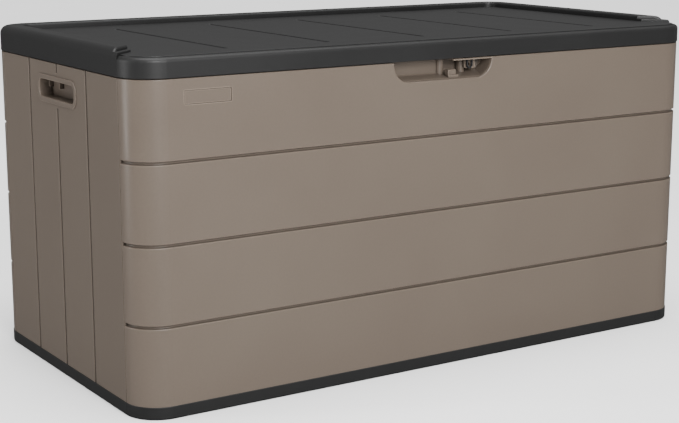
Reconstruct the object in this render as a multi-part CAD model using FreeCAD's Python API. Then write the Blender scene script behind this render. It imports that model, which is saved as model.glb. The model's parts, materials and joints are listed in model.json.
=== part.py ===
# Deck storage box: a moulded resin chest for cushions and garden tools, 1.2 m wide.
#
# Frame: origin at the middle of the footprint on the ground, +Z up, +X to the right as seen
# from the front, front towards -Y. Millimetres. "Inset" is the distance in from the outline
# that the lid and the base share; every wall, lip and groove is placed by its inset.

import FreeCAD, Part
import math
import os

# ---- overall sizes ----
WIDTH = 1200.0          # lid and base, left to right
DEPTH = 618.0           # lid and base, front to rear
CORNER_R = 60.0         # plan radius of the upright corners
BASE_H = 22.0           # base skirt
PANEL_H = 537.5         # walls, from the base skirt to their shoulder
LID_GAP = 1.0           # shadow gap between the shoulder and the lid
LID_H = 35.0            # lid, from its lower edge to its deck
RIM_H = 10.5            # raised rim above the deck

# ---- walls ----
PANEL_INSET = 1.0       # walls stand this far inside the lid and the base
WALL = 4.5              # wall thickness
SHOULDER_R = 1.6        # eased upper edge of the walls
SEAM_GAP = 0.8          # gap between a wrapped panel and an end panel
SEAM_R = 1.2            # eased edges along that gap
RAIL_H = 14.5           # thick band under the shoulder
RAIL_T = 3.0            # how far the band stands inside the wall
LIP_T = 3.0             # rain lip that stands up inside the lid
LIP_H = 15.5            # its height above the shoulder
TONGUE_T = 3.0          # tongue under the walls, in the channel of the base
TONGUE_H = 8.0
TONGUE_ROOT = 2.0       # how far the tongue's root stands up inside the wall
FLANGE_T = 3.5          # strip on a wrapped panel that backs the end panel's edge
FLANGE_LAP = 24.0       # how far it reaches behind the end panel
FLANGE_ROOT = 12.0      # how far it reaches back into the corner
STIFFENER_T = 3.0       # upright ribs inside the front and rear panels
STIFFENER_H = 6.0
STIFFENERS = 4

# ---- moulded boards ----
BOARDS = 4              # boards on each wall
GROOVE_W = 6.0          # groove between two boards, at its mouth
GROOVE_FLOOR = 3.0
GROOVE_DEPTH = 4.3
GROOVE_LIP_R = 1.4
GROOVE_TOE_R = 1.0
GROOVE_STOP = 3.6       # a groove ends this far before the seam, along the wall
BACKING_W = 15.0        # rib behind a groove, which keeps the wall thickness
BACKING_T = 4.3

# ---- base tray ----
FLOOR_Z = 16.0          # upper face of the floor
FLOOR_T = 3.5
CURB_W = 5.5            # curb between the tongue channel and the floor
SKIRT_T = 12.0          # solid edge under the walls
TRAY_RIB_T = 3.0
TRAY_RIBS_X = 7         # ribs across the tray
TRAY_RIBS_Y = 3         # ribs along the tray
CENTRE_PAD = 60.0       # square pad under the middle of the tray
BASE_FOOT_R = 3.0
BASE_TOP_R = 0.8
CHANNEL_GAP = 0.3       # clearance round the tongue

# ---- lid ----
LID_WALL = 4.0
DECK_T = 5.0
LID_FRONT_R = 8.0       # rounded front edge
LID_EDGE_R = 1.2        # lower edge of the skirt
DECK_STEP = 1.5         # the deck stands this far above the front edge
STEP_INSET = 10.0
STEP_R = 0.7
RIM_W = 42.0            # raised rim, from the outline to its inner foot
RIM_OUTER_R = 15.0
RIM_INNER_R = 4.0
RIM_CORNER_R = 20.0     # plan radius of the rim's inner rear corners
RIM_SET = 57.0          # the rim stops this far behind the lid's front edge
RIM_SPLAY = 37.0        # its end runs back this much on its way inwards
RIM_TIER_H = 4.0        # low first tier of its end
RIM_TIER_L = 12.0       # how far the first tier stands in front of the second
RIM_TIER_R = 1.2
RIM_WALL = 5.0
FLUTES = 5
FLUTE_W = 9.5
FLUTE_DEPTH = 3.1
FLUTE_FRONT_SET = 63.0  # from the lid's front edge to the flutes
FLUTE_REAR_SET = 115.0  # from its rear edge
LINER_GAP = 0.5         # liner above the rain lip
LINER_T = 3.0
LINER_CLEAR = 0.3       # liner to the inside of the skirt
LINER_COLS = 4          # sunk fields on the underside of the liner
LINER_ROWS = 2
LINER_FIELD_DEPTH = 1.2
LINER_FIELD_SET = 0.4   # from the liner's screw bosses to its sunk fields
LINER_RIB = 30.0
LINER_SCREW_SET = 4.0   # centre of a liner screw from the hollow under the rim
LID_RAIL_W = 30.0       # steel tubes between liner and shell
LID_RAIL_GAP = 2.0      # below the deck
LID_RAIL_T = 1.5
LID_RAIL_SET = 50.0     # from the lid's side to the end of a tube
LID_RAIL_Y = 110.0      # off the middle, to the front and to the rear

# ---- handles ----
HAND_L = 150.0          # clear opening
HAND_H = 31.0
HAND_R = 10.0
HAND_DROP = 47.0        # centre below the shoulder
BEZEL_SIDE = 9.5        # rim of the bezel at each end of the opening
BEZEL_TOP = 9.0         # and above and below it
BEZEL_R = 18.0
BEZEL_PROUD = 1.8       # in front of the end panel
BEZEL_EDGE_R = 1.2
HAND_LIP_R = 1.5
CUP_T = 2.5
CUP_DEPTH = 22.0        # from the end panel's face to the back of the cup
CUP_RIB_T = 3.0
CUP_RIB_H = 8.0
CUP_RIB_Y = (21.0, 66.0)
HANDLE_CLEAR = 0.3
BARB_L = 12.0
BARB_T = 1.5
PAD_MARGIN = 6.0        # flat pad above and below the bezel

# ---- finger pull and lock ----
PULL_W = 212.0          # cut-out in the front panel
PULL_H = 35.5           # below the shoulder
PULL_R = 32.0           # its lower corners, as far as its side edges allow
PULL_CORNER_END = 0.5   # straight left above such a corner
PULL_LIP_R = 2.2
BAR_X = 21.0            # right of this the cut-out keeps a bar under the shoulder
BAR_H = 3.0
PULL_CUP_DEPTH = 30.0   # left cup, from the front panel's face
LOCK_DEPTH = 40.0       # right chamber
PULL_T = 2.5            # wall of the insert
PULL_FLANGE = 12.0
PULL_RISE = 8.0         # its floor rises towards the rear, so that water runs out
PULL_TOE_R = 5.0
PULL_SIDE_R = 14.0      # upright rear corners of the recess, in plan
PULL_TOP = 8.5          # its walls stand this far above the shoulder
DIVIDER_X = 11.0        # half-round post between the cup and the chamber
DIVIDER_R = 7.0
CATCH_X = 14.6          # left side of the small block beside the post
CATCH_W = 17.5
CATCH_TOP = 16.0        # above the lower edge of the cut-out
CATCH_SET = 3.0         # behind the front of the insert
CATCH_BACK = 12.0
CATCH_FOOT_W = 22.5     # wider foot of that block
CATCH_FOOT_H = 6.5
CATCH_FOOT_OUT = 1.5
GUARD_X = 60.0          # half-round guard behind the lock tab
GUARD_R = 7.0
GUARD_TOP = 33.0
LOCK_X = 67.0
LOCK_RISE = 21.5        # centre of the lock hole above the lower edge of the cut-out
LOCK_HOLE_R = 3.5
EYE_W = 12.5
EYE_HOLE_R = 4.2        # wide enough for the shackle, and open upwards as a slot
EYE_SLOT_H = 7.0
EYE_T = 3.0
EYE_INSET = 14.0
EYE_FOOT_L = 30.0
EYE_FOOT_W = 36.0
EYE_FOOT_R = 2.0
TAB_LEFT = 9.0          # tab to the left, right, below and above the hole's centre
TAB_RIGHT = 15.0
TAB_BELOW = 6.5
TAB_ABOVE = 9.0
TAB_R = 4.0
TAB_T = 3.5
TAB_GAP = 2.0           # between the lock eye and the tab behind it
TAB_WEB_T = 5.0
TAB_WEB_SET = 7.0       # its web stays this far right of the hole's centre
TAB_FLANGE_W = 22.0
TAB_FLANGE_R = 2.0
TAB_SCREW_SET = 4.5     # screws from the flange's sides
TAB_CLEAR = 0.3         # above the floor of the chamber
BADGE_SET = 132.0       # centre from the left side
BADGE_W = 86.0
BADGE_H = 23.0
BADGE_DROP = 31.0       # centre below the shoulder
BADGE_DEPTH = 1.8
BADGE_T = 1.0
BADGE_R = 2.0
BADGE_CLEAR = 1.0

# ---- hinges and screws ----
HINGE_SET = 200.0       # outer hinges from the sides
HINGE_NAMES = ("left", "centre", "right")
HINGE_L = 60.0
KNUCKLE_R = 5.0
KNUCKLE_MID = 30.0      # lid knuckle
KNUCKLE_GAP = 0.5
KNUCKLE_CLEAR = 0.3     # knuckle to the lid's rear face
PIN_R = 2.5
PIN_HEAD_R = 4.0
PIN_HEAD_T = 1.5
PIN_RUN = 0.05          # radial clearance in the lid leaf
PIN_FIT = 0.02          # radial clearance in the body leaf
LEAF_T = 2.5
LEAF_H = 28.0
LEAF_R = 5.0
HINGE_PAD_W = 74.0      # thick pad inside the rear panel behind a hinge
HINGE_PAD_H = 44.0
HINGE_PAD_T = 5.0
SCREW_R = 1.75
SCREW_HEAD_R = 3.6
SCREW_HEAD_T = 2.2
SCREW_PLAY = 0.3        # radial, in the piece under the head
SCREW_BITE = 0.05       # radial, in the piece that holds it
CROSS_L = 4.2
CROSS_W = 0.9
CROSS_DEPTH = 1.0
SEAM_SCREWS = 4         # on each upright seam
LINER_BITE = 2.5        # how far a liner screw goes into the deck

# ---- levels and places that follow ----
Z_SHOULDER = BASE_H + PANEL_H
Z_LID = Z_SHOULDER + LID_GAP
Z_DECK = Z_LID + LID_H
Z_RIM = Z_DECK + RIM_H
Z_LIP = Z_SHOULDER + LIP_H
Z_LINER = Z_LIP + LINER_GAP
Z_UNDER_DECK = Z_DECK - DECK_T
WALL_IN = PANEL_INSET + WALL
RAIL_IN = WALL_IN + RAIL_T
LIP_OUT = RAIL_IN - LIP_T
TONGUE_IN = WALL_IN + 1.0
TONGUE_OUT = TONGUE_IN - TONGUE_T
SEAM_Y = DEPTH / 2 - CORNER_R
BOARD_PITCH = (PANEL_H + LID_GAP) / BOARDS
END_PITCH = 2 * SEAM_Y / BOARDS
FACE_X = WIDTH / 2 - PANEL_INSET
FACE_Y = DEPTH / 2 - PANEL_INSET
HINGE_Y = DEPTH / 2 + KNUCKLE_CLEAR + KNUCKLE_R
HINGE_Z = Z_SHOULDER + LID_GAP / 2
EYE_Y = -DEPTH / 2 + EYE_INSET
TAB_Y = EYE_Y + EYE_T + TAB_GAP
PULL_Z = Z_SHOULDER - PULL_H
LOCK_Z = PULL_Z + LOCK_RISE
PULL_CORNER = min(PULL_R, PULL_H - BAR_H - PULL_CORNER_END)
HAND_Z = Z_SHOULDER - HAND_DROP
BEZEL_L = HAND_L + 2 * BEZEL_SIDE
BEZEL_H = HAND_H + 2 * BEZEL_TOP
RIM_END_Y = -DEPTH / 2 + RIM_SET
BADGE_X = -WIDTH / 2 + BADGE_SET
HINGE_X = (HINGE_SET - WIDTH / 2, 0.0, WIDTH / 2 - HINGE_SET)
LINER_SCREW_IN = RIM_W - RIM_WALL + LINER_SCREW_SET
LINER_MARGIN = LINER_SCREW_IN + SCREW_HEAD_R + LINER_FIELD_SET
LID_RAIL_H = Z_UNDER_DECK - Z_LINER - LINER_T - LID_RAIL_GAP
FAR = 2 * (WIDTH + DEPTH)
OVER = 1.0              # how far a cutter runs past what it cuts


# ---- shape helpers ----
def vec(x, y, z):
    return FreeCAD.Vector(x, y, z)


def block(x0, x1, y0, y1, z0, z1):
    return Part.makeBox(x1 - x0, y1 - y0, z1 - z0, vec(x0, y0, z0))


def fuse(shapes):
    whole = shapes[0].multiFuse(shapes[1:]) if len(shapes) > 1 else shapes[0]
    return whole.removeSplitter()


def cut(shape, cutters):
    for cutter in cutters:
        shape = shape.cut(cutter)
    return shape


def mirrored(shape, normal):
    return shape.mirror(vec(0, 0, 0), normal)


def rounded_wire(corners, place):
    """Closed wire through (u, v, radius) corners; place turns (u, v) into a point."""
    stations = []
    count = len(corners)
    for i in range(count):
        here = vec(corners[i][0], corners[i][1], 0)
        radius = corners[i][2]
        if radius == 0:
            stations.append((here, None, here))
            continue
        back = vec(corners[i - 1][0], corners[i - 1][1], 0).sub(here).normalize()
        ahead = corners[(i + 1) % count]
        on = vec(ahead[0], ahead[1], 0).sub(here).normalize()
        half = back.getAngle(on) / 2
        reach = radius / math.tan(half)
        bulge = radius / math.sin(half) - radius
        middle = here + (back + on).normalize() * bulge
        stations.append((here + back * reach, middle, here + on * reach))
    edges = []
    for i in range(count):
        start, middle, end = stations[i]
        follows = stations[(i + 1) % count][0]
        if middle is not None:
            edges.append(Part.Arc(place(start), place(middle), place(end)).toShape())
        if follows.sub(end).Length > 1e-6:
            edges.append(Part.LineSegment(place(end), place(follows)).toShape())
    return Part.Wire(edges)


def extruded(corners, place, run):
    return Part.Face(rounded_wire(corners, place)).extrude(run)


def rectangle(u0, u1, v0, v1, radius):
    return [(u0, v0, radius), (u1, v0, radius), (u1, v1, radius), (u0, v1, radius)]


def in_plan(z):
    return lambda p: vec(p.x, p.y, z)


def in_front_view(y):
    return lambda p: vec(p.x, y, p.y)


def in_side_view(x):
    return lambda p: vec(x, p.x, p.y)


def plate_z(x0, x1, y0, y1, z0, z1, radius):
    return extruded(rectangle(x0, x1, y0, y1, radius), in_plan(z0), vec(0, 0, z1 - z0))


def plate_y(x0, x1, y0, y1, z0, z1, radius):
    return extruded(rectangle(x0, x1, z0, z1, radius), in_front_view(y0), vec(0, y1 - y0, 0))


def plate_x(x0, x1, y0, y1, z0, z1, radius):
    return extruded(rectangle(y0, y1, z0, z1, radius), in_side_view(x0), vec(x1 - x0, 0, 0))


def prism(inset, z0, z1):
    """Upright prism on the shared outline, moved in by inset."""
    x = WIDTH / 2 - inset
    y = DEPTH / 2 - inset
    return plate_z(-x, x, -y, y, z0, z1, CORNER_R - inset)


def ring(outer, inner, z0, z1):
    return prism(outer, z0, z1).cut(prism(inner, z0 - OVER, z1 + OVER))


def level_edges(shape, z):
    """Edges that lie wholly at height z."""
    found = []
    for edge in shape.Edges:
        box = edge.BoundBox
        if abs(box.ZMin - z) < 0.01 and abs(box.ZMax - z) < 0.01:
            found.append(edge)
    return found


def rounded_level(shape, z, radius):
    return shape.makeFillet(radius, level_edges(shape, z))


def edges_at(shape, axis, value):
    """Edges that lie wholly in the plane where the coordinate on axis has this value."""
    found = []
    for edge in shape.Edges:
        box = edge.BoundBox
        low = (box.XMin, box.YMin, box.ZMin)[axis]
        high = (box.XMax, box.YMax, box.ZMax)[axis]
        if abs(low - value) < 0.01 and abs(high - value) < 0.01:
            found.append(edge)
    return found


def screw(at, way, length):
    """Pan-head screw: at is under the head, way points from the head to the tip."""
    back = way * -1.0
    head = Part.makeCylinder(SCREW_HEAD_R, SCREW_HEAD_T, at, back)
    top = at + back * SCREW_HEAD_T
    crown = [e for e in head.Edges if e.CenterOfMass.sub(top).Length < 0.01]
    head = head.makeFillet(SCREW_HEAD_T * 0.45, crown)
    shank = Part.makeCylinder(SCREW_R, length, at, way)
    first = vec(0, 0, 1) if abs(way.z) < 0.5 else vec(1, 0, 0)
    second = way.cross(first)
    whole = head.fuse(shank)
    for along, across in ((first, second), (second, first)):
        corner = top - along * (CROSS_L / 2) - across * (CROSS_W / 2)
        slot = Part.Wire(Part.makePolygon([
            corner,
            corner + along * CROSS_L,
            corner + along * CROSS_L + across * CROSS_W,
            corner + across * CROSS_W,
            corner,
        ]))
        whole = whole.cut(Part.Face(slot).extrude(way * CROSS_DEPTH))
    return whole


def play_hole(at, way, length):
    return Part.makeCylinder(SCREW_R + SCREW_PLAY, length + 2 * OVER, at - way * OVER, way)


def bite_hole(at, way, length):
    return Part.makeCylinder(SCREW_R + SCREW_BITE, length + SCREW_BITE, at, way)


# ---- board grooves ----
def groove_corners(width, floor, depth):
    """Section of a groove as (inward, across, radius), its mouth on the face at 0."""
    mouth = width / 2
    wide = mouth + 2 * GROOVE_LIP_R
    foot = floor / 2
    return [
        (-OVER, wide, 0),
        (0, wide, 0),
        (0, mouth, GROOVE_LIP_R),
        (depth, foot, GROOVE_TOE_R),
        (depth, -foot, GROOVE_TOE_R),
        (0, -mouth, GROOVE_LIP_R),
        (0, -wide, 0),
        (-OVER, -wide, 0),
    ]


def board_levels():
    return [BASE_H + BOARD_PITCH * i for i in range(1, BOARDS)]


def level_groove(z):
    """Cutter for one horizontal groove along the front and round both corners."""
    section = groove_corners(GROOVE_W, GROOVE_FLOOR, GROOVE_DEPTH)
    half = WIDTH / 2 - CORNER_R
    turn = 90 - math.degrees(GROOVE_STOP / CORNER_R)
    straight = extruded(section, lambda p: vec(-half, p.x - FACE_Y, z + p.y), vec(2 * half, 0, 0))
    right_face = Part.Face(rounded_wire(section, lambda p: vec(half, p.x - FACE_Y, z + p.y)))
    right = right_face.revolve(vec(half, -SEAM_Y, 0), vec(0, 0, 1), turn)
    left = mirrored(right, vec(1, 0, 0))
    return [straight, right, left]


def upright_groove(y, z0, z1):
    """Cutter for one vertical groove in the right end panel."""
    section = groove_corners(GROOVE_W, GROOVE_FLOOR, GROOVE_DEPTH)
    return extruded(section, lambda p: vec(FACE_X - p.x, y + p.y, z0), vec(0, 0, z1 - z0))


# ---- walls ----
def skin():
    """All four walls as one: the outer skin with its eased shoulder."""
    outer = rounded_level(prism(PANEL_INSET, BASE_H, Z_SHOULDER), Z_SHOULDER, SHOULDER_R)
    return outer.cut(prism(WALL_IN, BASE_H - OVER, Z_SHOULDER + OVER))


def wall_bands():
    """Thick band under the shoulder, rain lip and bottom tongue, all round."""
    rail = ring(PANEL_INSET + WALL / 2, RAIL_IN, Z_SHOULDER - RAIL_H, Z_SHOULDER)
    lip = ring(LIP_OUT, RAIL_IN, Z_SHOULDER - OVER, Z_LIP)
    tongue = ring(TONGUE_OUT, TONGUE_IN, BASE_H - TONGUE_H, BASE_H + TONGUE_ROOT)
    return [rail, lip, tongue]


def wrapped_skin():
    """Front skin, cut off square at both seams, with eased seam edges."""
    seam = -SEAM_Y - SEAM_GAP / 2
    part = skin().common(block(-FAR, FAR, -FAR, seam, -FAR, FAR))
    outer = []
    for edge in edges_at(part, 1, seam):
        box = edge.BoundBox
        if box.ZLength > PANEL_H / 2 and abs(edge.CenterOfMass.x) > FACE_X - 0.5:
            outer.append(edge)
    return part.makeFillet(SEAM_R, outer)


def seam_points():
    """Where the seam screws sit on the front right seam, under their heads."""
    step = PANEL_H / SEAM_SCREWS
    y = -SEAM_Y + FLANGE_LAP * 0.6
    x = WIDTH / 2 - WALL_IN - FLANGE_T
    return [vec(x, y, BASE_H + step * (i + 0.5)) for i in range(SEAM_SCREWS)]


def seam_screw_length():
    return FLANGE_T + WALL * 0.7


def wrapped_panel():
    """Front panel without its cut-outs: skin, bands, grooves, backing ribs and seam flanges."""
    seam = -SEAM_Y - SEAM_GAP / 2
    front = block(-FAR, FAR, -FAR, seam, -FAR, FAR)
    pieces = [wrapped_skin()]
    for band in wall_bands():
        pieces.append(band.common(front))
    for z in board_levels():
        backing = ring(WALL_IN - OVER, WALL_IN + BACKING_T, z - BACKING_W / 2, z + BACKING_W / 2)
        pieces.append(backing.common(front))
    x_out = WIDTH / 2 - WALL_IN
    x_in = x_out - FLANGE_T
    low = BASE_H + TONGUE_ROOT
    top = Z_SHOULDER - RAIL_H
    flange = block(x_in, x_out, seam - FLANGE_ROOT, -SEAM_Y + FLANGE_LAP, low, top)
    for at in seam_points():
        flange = flange.cut(play_hole(at, vec(1, 0, 0), FLANGE_T))
    pieces.append(flange)
    pieces.append(mirrored(flange, vec(1, 0, 0)))
    y_in = -DEPTH / 2 + WALL_IN
    for i in range(STIFFENERS):
        x = (i + 0.5 - STIFFENERS / 2) * WIDTH / (STIFFENERS + 1)
        half = STIFFENER_T / 2
        back = y_in + STIFFENER_H
        pieces.append(block(x - half, x + half, y_in - OVER, back, BASE_H, top + OVER))
    whole = fuse(pieces)
    for z in board_levels():
        whole = cut(whole, level_groove(z))
    return whole


def end_skin():
    """Right end skin between the seams, with eased seam edges."""
    half = SEAM_Y - SEAM_GAP / 2
    part = skin().common(block(0, FAR, -half, half, -FAR, FAR))
    outer = []
    for edge in edges_at(part, 1, half) + edges_at(part, 1, -half):
        if edge.BoundBox.ZLength > PANEL_H / 2 and edge.CenterOfMass.x > FACE_X - 0.5:
            outer.append(edge)
    return part.makeFillet(SEAM_R, outer)


def end_panel():
    """Right end panel with its boards, backing ribs, handle opening and screw holes."""
    half = SEAM_Y - SEAM_GAP / 2
    slice_box = block(0, FAR, -half, half, -FAR, FAR)
    pieces = [end_skin()]
    for band in wall_bands():
        pieces.append(band.common(slice_box))
    x_in = WIDTH / 2 - WALL_IN
    pad_low = HAND_Z - BEZEL_H / 2 - PAD_MARGIN
    pad_high = HAND_Z + BEZEL_H / 2 + PAD_MARGIN
    runs = {
        -1: [(BASE_H, Z_SHOULDER)],
        0: [(BASE_H, pad_low), (pad_high, Z_SHOULDER)],
        1: [(BASE_H, Z_SHOULDER)],
    }
    for i, spans in runs.items():
        for z0, z1 in spans:
            y0 = END_PITCH * i - BACKING_W / 2
            y1 = END_PITCH * i + BACKING_W / 2
            top = min(z1, Z_SHOULDER - RAIL_H + OVER)
            if top > z0:
                pieces.append(block(x_in - BACKING_T, x_in + OVER, y0, y1, z0, top))
    whole = fuse(pieces)
    for i, spans in runs.items():
        for z0, z1 in spans:
            low = z0 - OVER if z0 == BASE_H else z0
            high = z1 + OVER if z1 == Z_SHOULDER else z1
            whole = whole.cut(upright_groove(END_PITCH * i, low, high))
    whole = whole.cut(handle_neck(HANDLE_CLEAR))
    for at in seam_points():
        for side in (-1, 1):
            start = vec(x_in, -at.y * side, at.z)
            whole = whole.cut(bite_hole(start, vec(1, 0, 0), seam_screw_length() - FLANGE_T))
    return whole


def handle_neck(grow):
    """Solid plug of the handle's neck through the end panel, grown by a clearance."""
    y = HAND_L / 2 + CUP_T + grow
    z = HAND_H / 2 + CUP_T + grow
    x0 = FACE_X - CUP_DEPTH - CUP_T
    radius = HAND_R + CUP_T + grow
    return plate_x(x0, FACE_X + OVER, -y, y, HAND_Z - z, HAND_Z + z, radius)


def handle():
    """Right handle: bezel outside the end panel, neck and hand cup behind it, snap barbs."""
    half_l = BEZEL_L / 2
    half_h = BEZEL_H / 2
    outer_x = FACE_X + BEZEL_PROUD
    bezel = plate_x(FACE_X, outer_x, -half_l, half_l, HAND_Z - half_h, HAND_Z + half_h, BEZEL_R)
    bezel = bezel.makeFillet(BEZEL_EDGE_R, edges_at(bezel, 0, outer_x))
    neck = handle_neck(0).common(block(0, FACE_X, -FAR, FAR, -FAR, FAR))
    whole = bezel.fuse(neck)
    y = HAND_L / 2
    z = HAND_H / 2
    back_x = FACE_X - CUP_DEPTH
    hollow = plate_x(back_x, outer_x + OVER, -y, y, HAND_Z - z, HAND_Z + z, HAND_R)
    whole = whole.cut(hollow)
    mouth = []
    for edge in edges_at(whole, 0, outer_x):
        box = edge.BoundBox
        inside = max(abs(box.YMin), abs(box.YMax)) < y + 0.1 and abs(box.ZMax - HAND_Z) < z + 0.1
        if inside and abs(box.ZMin - HAND_Z) < z + 0.1:
            mouth.append(edge)
    whole = whole.makeFillet(HAND_LIP_R, mouth)
    rib_x = back_x + CUP_RIB_H
    rib_top = HAND_Z + z + OVER
    for y_rib in CUP_RIB_Y:
        y_end = y_rib + CUP_RIB_T
        whole = whole.fuse(block(back_x - OVER, rib_x, y_rib, y_end, HAND_Z, rib_top))
    behind = WIDTH / 2 - WALL_IN
    for side in (-1, 1):
        for y_barb in (-HAND_L / 3, HAND_L / 3):
            z_edge = HAND_Z + side * (z + CUP_T)
            barb = block(
                behind - HANDLE_CLEAR - 4 * BARB_T,
                behind - HANDLE_CLEAR,
                y_barb - BARB_L / 2,
                y_barb + BARB_L / 2,
                min(z_edge - side * OVER, z_edge + side * BARB_T),
                max(z_edge - side * OVER, z_edge + side * BARB_T),
            )
            whole = whole.fuse(barb)
    return whole.removeSplitter()


# ---- finger pull and lock ----
def pull_outline(grow, top):
    """Rounded U of the cut-out, grown sideways and down, open at the given height."""
    x = PULL_W / 2 + grow
    low = PULL_Z - grow
    radius = PULL_CORNER + grow
    return [(-x, low, radius), (x, low, radius), (x, top, 0), (-x, top, 0)]


def pull_opening():
    """Cut-out in the front panel: open at the top on the left, barred on the right."""
    x = PULL_W / 2
    bar = Z_SHOULDER - BAR_H
    high = Z_SHOULDER + OVER
    corners = [
        (-x, high, 0),
        (-x, PULL_Z, PULL_CORNER),
        (x, PULL_Z, PULL_CORNER),
        (x, bar, 0),
        (BAR_X, bar, 0),
        (BAR_X, high, 0),
    ]
    y = -FACE_Y - OVER
    return extruded(corners, in_front_view(y), vec(0, WALL + 2 * OVER, 0))


def pull_clearance():
    """Room behind the cut-out for the insert: band and lip are left out there."""
    x = PULL_W / 2 + PULL_FLANGE + HANDLE_CLEAR
    y0 = -DEPTH / 2 + WALL_IN
    return block(-x, x, y0, y0 + RAIL_T + OVER, PULL_Z - FAR, Z_LIP + OVER)


def pull_screw_points():
    y = -DEPTH / 2 + WALL_IN + PULL_T
    middle = (PULL_T + PULL_FLANGE) / 2
    side = PULL_W / 2 + middle
    low = PULL_Z - middle
    return [
        vec(-side, y, Z_SHOULDER - RAIL_H),
        vec(side, y, Z_SHOULDER - RAIL_H),
        vec(-PULL_W / 5, y, low),
        vec(PULL_W / 5, y, low),
    ]


def pull_screw_length():
    return PULL_T + WALL * 0.7


def badge_outline(shrink):
    half = BADGE_W / 2 - shrink
    z = Z_SHOULDER - BADGE_DROP
    tall = BADGE_H / 2 - shrink
    return rectangle(BADGE_X - half, BADGE_X + half, z - tall, z + tall, BADGE_R - shrink)


def front_panel():
    whole = wrapped_panel()
    whole = whole.cut(pull_clearance())
    whole = whole.cut(pull_opening())
    whole = rounded_pull_lip(whole)
    deep = vec(0, BADGE_DEPTH + OVER, 0)
    recess = extruded(badge_outline(0), in_front_view(-FACE_Y - OVER), deep)
    whole = whole.cut(recess)
    for at in pull_screw_points():
        start = vec(at.x, at.y - PULL_T, at.z)
        whole = whole.cut(bite_hole(start, vec(0, -1, 0), pull_screw_length() - PULL_T))
    return whole


def rounded_pull_lip(panel):
    """Ease the outer edge of the cut-out's floor and corners."""
    found = []
    for edge in edges_at(panel, 1, -FACE_Y):
        box = edge.BoundBox
        inside = box.XMin > -PULL_W / 2 - 0.01 and box.XMax < PULL_W / 2 + 0.01
        if inside and box.ZMin > PULL_Z - 0.01 and box.ZMax < Z_SHOULDER - BAR_H - 0.01:
            found.append(edge)
    return panel.makeFillet(PULL_LIP_R, found)


def rear_panel():
    whole = mirrored(wrapped_panel(), vec(0, 1, 0))
    y_in = DEPTH / 2 - WALL_IN
    low = leaf_low_z() - (HINGE_PAD_H - LEAF_H) / 2
    pads = []
    half = HINGE_PAD_W / 2
    front = y_in - HINGE_PAD_T
    for x in HINGE_X:
        pads.append(block(x - half, x + half, front, y_in + OVER, low, Z_SHOULDER - OVER))
    whole = fuse([whole] + pads)
    for at in body_leaf_screw_points():
        start = vec(at.x, FACE_Y, at.z)
        whole = whole.cut(bite_hole(start, vec(0, -1, 0), leaf_screw_length() - LEAF_T))
    return whole


def badge_plate():
    y = -FACE_Y + BADGE_DEPTH - BADGE_T
    return extruded(badge_outline(BADGE_CLEAR), in_front_view(y), vec(0, BADGE_T, 0))


def cup_section(depth, front_y):
    """Side view of a cup: the floor rises towards a rounded toe at the rear wall."""
    rear = -FACE_Y + depth
    slope = PULL_RISE / PULL_CUP_DEPTH
    return [
        (front_y, PULL_Z + (front_y + FACE_Y) * slope, 0),
        (rear, PULL_Z + depth * slope, PULL_TOE_R),
        (rear, Z_SHOULDER + PULL_TOP + OVER, 0),
        (front_y, Z_SHOULDER + PULL_TOP + OVER, 0),
    ]


def cup_hollow(x0, x1, depth):
    front_y = -DEPTH / 2 + WALL_IN - OVER
    section = cup_section(depth, front_y)
    run = extruded(section, in_side_view(x0), vec(x1 - x0, 0, 0))
    top = Z_SHOULDER + PULL_TOP + OVER
    mask = extruded(pull_outline(0, top), in_front_view(front_y), vec(0, depth + WALL, 0))
    x = PULL_W / 2
    rear = -FACE_Y + depth
    plan = plate_z(-x, x, rear - 2 * DEPTH, rear, PULL_Z - OVER, top + OVER, PULL_SIDE_R)
    return run.common(mask).common(plan)


def pull_pocket():
    """Insert behind the cut-out: finger cup, lock chamber, divider, catch block and guard."""
    y0 = -DEPTH / 2 + WALL_IN
    top = Z_SHOULDER + PULL_TOP
    face = in_front_view(y0)
    flange = extruded(pull_outline(PULL_FLANGE, Z_SHOULDER), face, vec(0, PULL_T, 0))
    cup_run = -FACE_Y + PULL_CUP_DEPTH + PULL_T - y0
    lock_run = -FACE_Y + LOCK_DEPTH + PULL_T - y0
    shell = extruded(pull_outline(PULL_T, top), face, vec(0, lock_run, 0))
    split = DIVIDER_X + DIVIDER_R
    beside = DIVIDER_X - DIVIDER_R - PULL_T
    shell = shell.cut(block(-FAR, beside, y0 + cup_run, FAR, -FAR, FAR))
    whole = flange.fuse(shell)
    whole = whole.cut(cup_hollow(-PULL_W / 2, split, PULL_CUP_DEPTH))
    whole = whole.cut(cup_hollow(split, PULL_W / 2, LOCK_DEPTH))
    post_at = vec(DIVIDER_X, -FACE_Y + PULL_CUP_DEPTH, PULL_Z)
    post = Part.makeCylinder(DIVIDER_R, top - PULL_Z, post_at)
    whole = fuse([whole, post, catch_block(y0), guard()])
    for at in pull_screw_points():
        whole = whole.cut(play_hole(at, vec(0, -1, 0), PULL_T))
    for at in tab_screw_points():
        whole = whole.cut(play_hole(at, vec(0, -1, 0), PULL_T))
    return whole


def catch_block(y0):
    """Small block on the floor of the recess, on a wider foot."""
    front = y0 + CATCH_SET
    back = front + CATCH_BACK
    high = PULL_Z + CATCH_TOP
    upper = plate_z(CATCH_X, CATCH_X + CATCH_W, front, back, PULL_Z, high, PULL_T / 2)
    upper = upper.makeFillet(PULL_T * 0.45, level_edges(upper, high))
    low = PULL_Z + CATCH_FOOT_H
    right = CATCH_X + CATCH_FOOT_W
    foot = plate_z(CATCH_X, right, front - CATCH_FOOT_OUT, back, PULL_Z, low, PULL_T / 2)
    foot = foot.makeFillet(PULL_T * 0.45, level_edges(foot, low))
    return upper.fuse(foot)


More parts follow.
